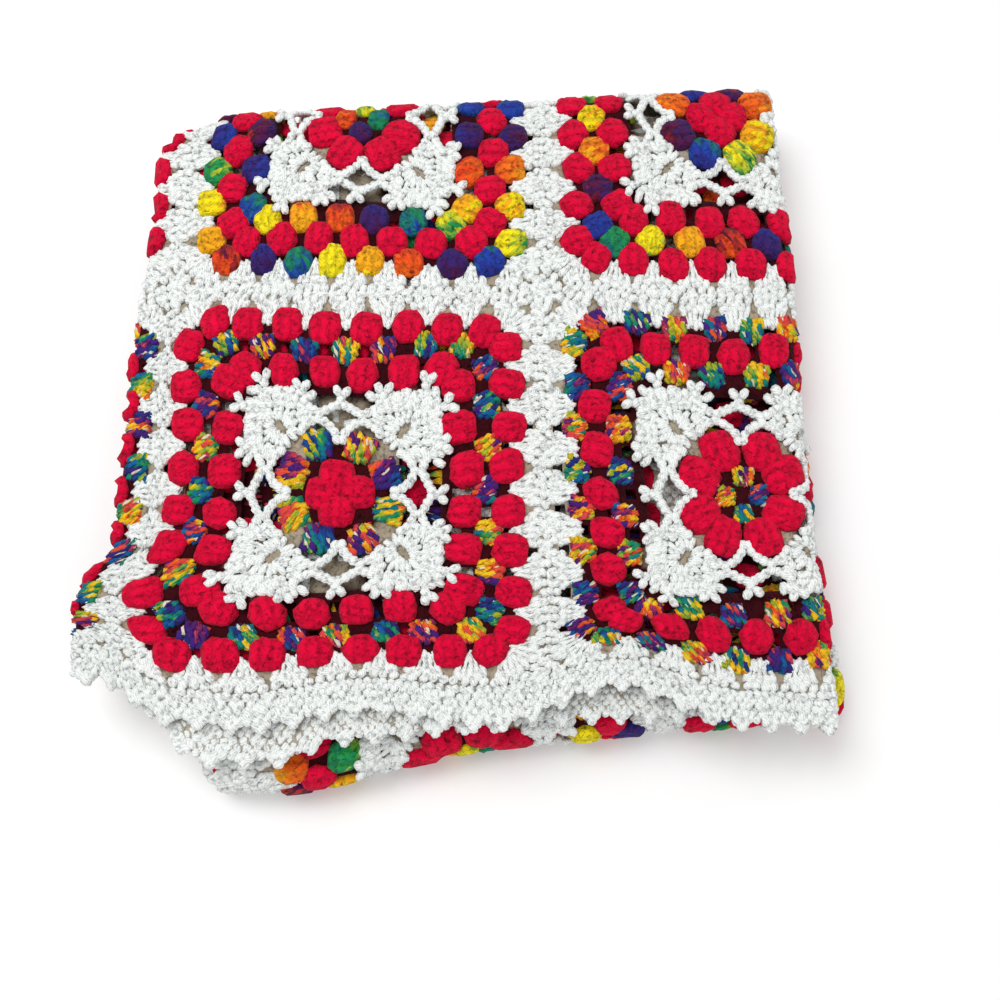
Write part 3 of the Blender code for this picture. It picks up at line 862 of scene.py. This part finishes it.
def layChain(square, side, points, lift):
    # chain stitches along a strand through the points
    points = np.array(points)
    lengths = np.linalg.norm(np.diff(points, axis=0), axis=1)
    way = np.concatenate(([0], np.cumsum(lengths)))
    count = max(2, round(way[-1] / lace["chainPitch"]))
    for place in range(count):
        at = (place + 0.5) / count * way[-1]
        a, b = (np.interp(at, way, points[:, column]) for column in (0, 1))
        nextA, nextB = (np.interp(at + lace["chainAhead"], way, points[:, column]) for column in (0, 1))
        u, v, angle = turnTo(square, side, a, b)
        heading = math.atan2(nextB - b, nextA - a) - math.pi / 2
        turn = angle + heading + dice.normal(0, lace["chainTurn"])
        laceChains.add(u, v, turn, lift + dice.normal(0, lace["chainLiftScatter"]), *lace["chainSize"])


def layPicot(square, side, a, b, lean):
    # two prongs in a V on a small base
    u, v, angle = turnTo(square, side, a, b)
    laceChains.add(u, v, angle, lace["picotLift"] - lace["picotBaseLower"], *lace["picotBase"])
    reach = lace["picotReach"]
    for prong in (-1, 1):
        turn = angle + lean - prong * (lace["picotSpread"] + dice.normal(0, lace["picotTurn"]))
        tipU, tipV = u - reach * math.sin(turn), v + reach * math.cos(turn)
        laceChains.add(tipU, tipV, turn, lace["picotLift"], *lace["picotSize"])


for square in squares:
    for corner in range(4):
        layLaceFan(square, corner)
        for chain in lace["chains"]:
            layChain(square, corner, chain, lace["chainLift"])
            layChain(square, corner, [(-a, b) for a, b in chain], lace["chainLift"])
        for place, (a, b) in enumerate(zip(lace["picots"], lace["picotDistance"])):
            lean = -lace["picotLean"] * math.copysign(1, a) if place in (0, 4) else 0.0
            layPicot(square, corner, a + dice.normal(0, lace["picotShift"]), b, lean)

# edging
edging = {
    # distance from the outer end of the picots, lean, lift
    "rows": ((0.0226, 0.35, 0.0003), (0.0187, -0.35, 0.0004), (0.0149, 0.35, 0.0004), (0.0111, -0.35, 0.0003),
             (0.0080, 0.35, 0.0001)),
    "pitch": 0.0046, "size": (0.96, 0.92, 1.00), "rowStep": 0.25,
    "scatter": 0.0003, "sizeScatter": 0.05, "turn": 0.13, "liftScatter": 0.0003,
    # stitches of one picot: along the edge, distance from its outer end
    "picot": ((-0.0022, 0.0062), (0.0022, 0.0062), (0.0, 0.0033)), "picotSize": (1.18, 0.95, 1.15),
    "picotPitch": 0.0168, "picotLift": 0.0004, "picotScatter": 0.0002, "picotSpread": 0.006,
    "picotTurn": 0.15,
}
edgingRows, edgingPicots = StitchList("stitch"), StitchList("stitch")
outerCorners = ((0, 0), (flatWidth, 0), (flatWidth, flatLength), (0, flatLength))


def alongEdge(start, end, inset, pitch, shift=0.0):
    # evenly spaced places beside one edge of the blanket, in step from row to row, and the way along it
    way = (Vector(end) - Vector(start)).normalized()
    inward = Vector((-way.y, way.x))
    length = (Vector(end) - Vector(start)).length
    count = round(length / pitch)
    for place in range(count):
        along = (place + 0.5 + shift) * length / count
        if inset < along < length - inset:
            yield Vector(start) + along * way + inset * inward, way, inward


for start, end in zip(outerCorners, outerCorners[1:] + outerCorners[:1]):
    # the angle whose Y way points out
    outward = math.atan2(end[1] - start[1], end[0] - start[0]) + math.pi
    width, length, height = edging["size"]
    for row, (inset, lean, lift) in enumerate(edging["rows"]):
        step = edging["rowStep"] if row % 2 else -edging["rowStep"]
        for place, _, _ in alongEdge(start, end, inset, edging["pitch"], step):
            shiftU, shiftV = dice.normal(0, edging["scatter"], 2)
            own = 1 + dice.normal(0, edging["sizeScatter"])
            turn = outward + lean + dice.normal(0, edging["turn"])
            ownLift = lift + dice.normal(0, edging["liftScatter"])
            edgingRows.add(place.x + shiftU, place.y + shiftV, turn, ownLift,
                           own * width, own * length, height)
    for place, way, inward in alongEdge(start, end, 0.0, edging["picotPitch"]):
        for along, distance in edging["picot"]:
            tooth = place + (along + dice.normal(0, edging["picotScatter"])) * way + distance * inward
            turn = outward + dice.normal(-along / edging["picotSpread"], edging["picotTurn"])
            edgingPicots.add(tooth.x, tooth.y, turn, edging["picotLift"], *edging["picotSize"])

# each piece with its stitches, its yarn and what it is worked on
pieces = {name: (joinStitches(name, stitches), yarn, where) for name, stitches, yarn, where in (
    ("redClusters", clusters["red"], "red", "squares"),
    ("variegatedClusters", clusters["variegated"], "variegated", "squares"),
    ("rainbowClusters", clusters["rainbow"], "rainbow", "squares"),
    ("joinFans", joinFans, "white", "squares"),
    ("joinTops", joinTops, "white", "squares"),
    ("laceFans", laceFans, "white", "squares"),
    ("laceChains", laceChains, "white", "squares"),
    ("edgingRows", edgingRows, "white", "edging"),
    ("edgingPicots", edgingPicots, "white", "edging"),
)}

# ground: the feet of the stitches and the chains between them, one thin sheet with the gaps left open; where
# it shows between stitches, its colour is painted shade
ground = {
    "pitch": 0.00615, "thick": 0.0009, "middle": -0.0004,
    # where the cloth turns: axis, start, end, pitch
    "turns": (("u", 0.2260, 0.2635, 0.0028), ("u", 0.6200, 0.6850, 0.0060), ("v", 0.3740, 0.4490, 0.0060),
              ("v", 0.8160, 0.8890, 0.0060)),
    "turnMargin": 0.002, "rim": 0.0065, "rimLines": 4,
    "archBand": (0.0250, 0.0310, 0.0600),      # half its width, nearest and furthest from the square's middle
    "aroundEye": 0.0120, "fanCorner": 0.013,   # open beside a fan: from its eye on, up to its corner
    # gaps between clusters: their share, half their width and length; holes in the join: half their size,
    # and how far from the middle of a side
    "openShare": 0.45, "gap": (0.003, 0.0065), "hole": 0.003, "holesUpTo": 0.092,
    # painted shade in pale tones: shaded beige in a fan's eye, under the fan and from here on under the join,
    # and shaded grey beside the edging
    "eye": 0.0115, "fan": 0.0225, "joinFrom": 0.104, "seam": 0.001,
    "paleRing": (0.0390, 0.0095),              # shaded beige round the middle of a square: its radius and half its width
    # painted shade: near-black red under the coloured rounds, shaded beige for the white yarn below seen in
    # shade, shaded grey beside the edging
    "red": (0.040, 0.002, 0.005, 1), "shadedBeige": (0.37, 0.31, 0.23, 1), "white": (0.42, 0.38, 0.32, 1),
    "plyWidth": 0.0030, "plySlant": 0.5,
}


def groundLines(axis, length):
    # the lines run between the clusters' places, so that a gap between two of them is one cell wide
    side, edge, pitch, rim = blanket["square"], blanket["edging"], ground["pitch"], ground["rim"]
    cells = round(side / pitch)
    lines = list(np.linspace(rim, edge, ground["rimLines"])[:-1])
    lines += list(np.linspace(length - rim, length - edge, ground["rimLines"])[:-1])
    for square in range(round((length - 2 * edge) / side)):
        middle = edge + (square + 0.5) * side
        lines += [middle + (place - (cells - 2) / 2) * pitch for place in range(cells - 1)]
        lines.append(middle - side / 2)
        if middle + side > length:
            lines.append(middle + side / 2)
    margin = ground["turnMargin"]
    for turnAxis, start, end, turnPitch in ground["turns"]:
        if turnAxis == axis:
            lines = [line for line in lines if not start - margin < line < end + margin]
            lines += list(np.linspace(start, end, round((end - start) / turnPitch) + 1))
    return sorted(lines)


def fromSquareMiddle(place):
    return abs((place - blanket["edging"]) % blanket["square"] - blanket["square"] / 2)


def isOpen(u, v):
    # whether the ground is open there: between two clusters of a round, under the arches or beside a fan
    column = int((u - blanket["edging"]) // blanket["square"])
    row = int((v - blanket["edging"]) // blanket["square"])
    if not (0 <= column < blanket["columns"] and 0 <= row < blanket["rows"]):
        return False
    a, b = sorted((fromSquareMiddle(u), fromSquareMiddle(v)))
    halfBand, near, far = ground["archBand"]
    fromEye = math.hypot(a - lace["eye"], b - lace["eye"])
    besideFan = fromEye > ground["aroundEye"] and b > near and a + b < 2 * lace["eye"] - ground["fanCorner"]
    if (a < halfBand and near < b < far) or besideFan:
        return True
    hole = ground["hole"]
    fromFan = abs(a % join["pitch"] - join["pitch"] / 2)
    if abs(b - join["holeRow"]) < hole and a < ground["holesUpTo"] and fromFan < hole:
        return dice.random() < join["openHoles"]
    halfWidth, halfLength = ground["gap"]
    for count, pitch, distance, _, _ in list(rounds["layout"].values())[2:]:
        offset = 0.0 if count % 2 == 0 else pitch / 2
        nearest = offset + pitch * round((a - offset) / pitch)
        isBetween = abs(nearest) < (count - 1) / 2 * pitch and abs(a - nearest) < halfWidth
        if isBetween and abs(b - distance) < halfLength:
            return dice.random() < ground["openShare"]
    return False


# the ground's painted shade: shaded beige and grey in the pale parts, near-black red under the coloured
# rounds
def groundShadeColours(flat):
    x, y = fromSquareMiddle(flat[:, 0]), fromSquareMiddle(flat[:, 1])
    fromEdge = np.minimum(flat[:, :2], (flatWidth, flatLength) - flat[:, :2]).min(axis=1)
    outer = fromEdge < blanket["edging"] + ground["seam"]
    fromEye = np.hypot(x - lace["eye"], y - lace["eye"])
    underFan = (fromEye < ground["fan"]) & (x + y > 2 * lace["eye"] - ground["fanCorner"])
    radius, halfWidth = ground["paleRing"]
    inRing = np.abs(np.hypot(x, y) - radius) < halfWidth
    # where shaded beige is painted as shade
    shadedBeige = (fromEye < ground["eye"]) | underFan | (np.maximum(x, y) > ground["joinFrom"]) | inRing
    inner = np.where(shadedBeige[:, None], ground["shadedBeige"], ground["red"])
    return np.where(outer[:, None], ground["white"], inner)


def makeGround():
    across, along = groundLines("u", flatWidth), groundLines("v", flatLength)
    columns, rows = len(across) - 1, len(along) - 1
    sheet = bmesh.new()
    bmesh.ops.create_grid(sheet, x_segments=columns, y_segments=rows, size=1.0)
    for vert in sheet.verts:
        vert.co = (across[round((vert.co.x + 1) / 2 * columns)], along[round((vert.co.y + 1) / 2 * rows)], 0)
    gaps = [face for face in sheet.faces if isOpen(*face.calc_center_median()[:2])]
    bmesh.ops.delete(sheet, geom=gaps, context="FACES")
    top = bmesh.ops.extrude_face_region(sheet, geom=sheet.faces[:], use_keep_orig=True)["geom"]
    raised = [item for item in top if isinstance(item, bmesh.types.BMVert)]
    bmesh.ops.translate(sheet, verts=raised, vec=(0, 0, ground["thick"]))
    bmesh.ops.translate(sheet, verts=sheet.verts, vec=(0, 0, ground["middle"] - ground["thick"] / 2))
    bmesh.ops.recalc_face_normals(sheet, faces=sheet.faces)
    mesh = bpy.data.meshes.new("groundSheet")
    sheet.to_mesh(mesh)
    sheet.free()
    flat = np.empty(3 * len(mesh.vertices))
    mesh.vertices.foreach_get("co", flat)
    flat = flat.reshape(-1, 3)
    mesh.attributes.new("flatPlace", "FLOAT_VECTOR", "POINT").data.foreach_set("vector", flat.ravel())
    colours = groundShadeColours(flat)
    # the ground's colours are painted shade
    mesh.attributes.new("groundShadeColour", "FLOAT_COLOR", "POINT").data.foreach_set("color", colours.ravel())
    u, v = waver(flat[:, 0], flat[:, 1])
    mesh.vertices.foreach_set("co", foldFace(u, v, flat[:, 2]).ravel())
    mesh.polygons.foreach_set("use_smooth", np.ones(len(mesh.polygons), dtype=bool))
    mesh.update()
    piece = bpy.data.objects.new("groundSheet", mesh)
    bpy.context.scene.collection.objects.link(piece)
    print("groundSheet faces:", len(mesh.polygons), "gaps:", len(gaps))
    return piece


def makeGroundShadeYarn():
    # painted shade: near-black red under the coloured rounds, shaded beige and grey under the lace, the join
    # and the edging
    values = dict(plainYarn["red"], plyWidth=ground["plyWidth"], plySlant=ground["plySlant"])
    material, tree, shader, place, twist = startYarn("groundShadeYarn", values)
    place.attribute_name = "flatPlace"
    colour = tree.nodes.new("ShaderNodeAttribute")
    colour.attribute_name = "groundShadeColour"
    # the ground's base colour is painted shade
    shadeColour(tree, colour.outputs["Color"], twist.outputs["Shade"], shader.inputs["Base Color"])
    return material


groundSheet = makeGround()
groundSheet.data.materials.append(makeGroundShadeYarn())
for piece, yarn, where in pieces.values():
    piece.data.materials.append(yarns[yarn])
    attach(piece, "root")
    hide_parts("joined_squares" if where == "squares" else "picot_edging")
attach(groundSheet, "root")
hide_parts("joined_squares")
print("pieces dressed:", len(pieces) + 1)

# studio
studio = {
    "floorSize": 6.0, "floorColour": (0.93, 0.93, 0.93, 1), "floorRoughness": 0.8,
    "sky": 0.66, "skyColour": (1.0, 1.0, 1.0, 1),
    "keyPower": 15.0, "keySize": 0.9, "keyPlace": (-0.55, 0.35, 1.5),
    "fillPower": 3.0, "fillPlace": (0.9, -0.8, 1.2),
    "lens": 35.316, "clipStart": 0.01, "cameraPlace": (0.0211, -0.2288, 0.621), "cameraTilt": 16.2,
}
floorShape = bmesh.new()
bmesh.ops.create_grid(floorShape, x_segments=2, y_segments=2, size=studio["floorSize"] / 2)
floorMesh = bpy.data.meshes.new("floor")
floorShape.to_mesh(floorMesh)
floorShape.free()
floor = bpy.data.objects.new("floor", floorMesh)
bpy.context.scene.collection.objects.link(floor)
floorFinish = bpy.data.materials.new("floorFinish")
floorFinish.use_nodes = True
floorShader = floorFinish.node_tree.nodes["Principled BSDF"]
floorShader.inputs["Base Color"].default_value = studio["floorColour"]
floorShader.inputs["Roughness"].default_value = studio["floorRoughness"]
floorMesh.materials.append(floorFinish)

world = bpy.data.worlds.new("studioSky")
world.use_nodes = True
world.node_tree.nodes["Background"].inputs["Color"].default_value = studio["skyColour"]
world.node_tree.nodes["Background"].inputs["Strength"].default_value = studio["sky"]
bpy.context.scene.world = world


def addLight(name, power, size, place):
    lamp = bpy.data.lights.new(name, "AREA")
    lamp.energy = power
    lamp.size = size
    item = bpy.data.objects.new(name, lamp)
    item.location = place
    item.rotation_euler = (-Vector(place)).to_track_quat("-Z", "Y").to_euler()
    bpy.context.scene.collection.objects.link(item)


addLight("keyLight", studio["keyPower"], studio["keySize"], studio["keyPlace"])
addLight("fillLight", studio["fillPower"], studio["keySize"], studio["fillPlace"])
bpy.context.scene.view_settings.view_transform = "Standard"

camera = bpy.data.objects.new("camera", bpy.data.cameras.new("camera"))
camera.data.lens = studio["lens"]
camera.data.clip_start = studio["clipStart"]
camera.location = studio["cameraPlace"]
camera.rotation_euler = (math.radians(studio["cameraTilt"]), 0.0, 0.0)
bpy.context.scene.collection.objects.link(camera)
bpy.context.scene.camera = camera
print("studio ready")
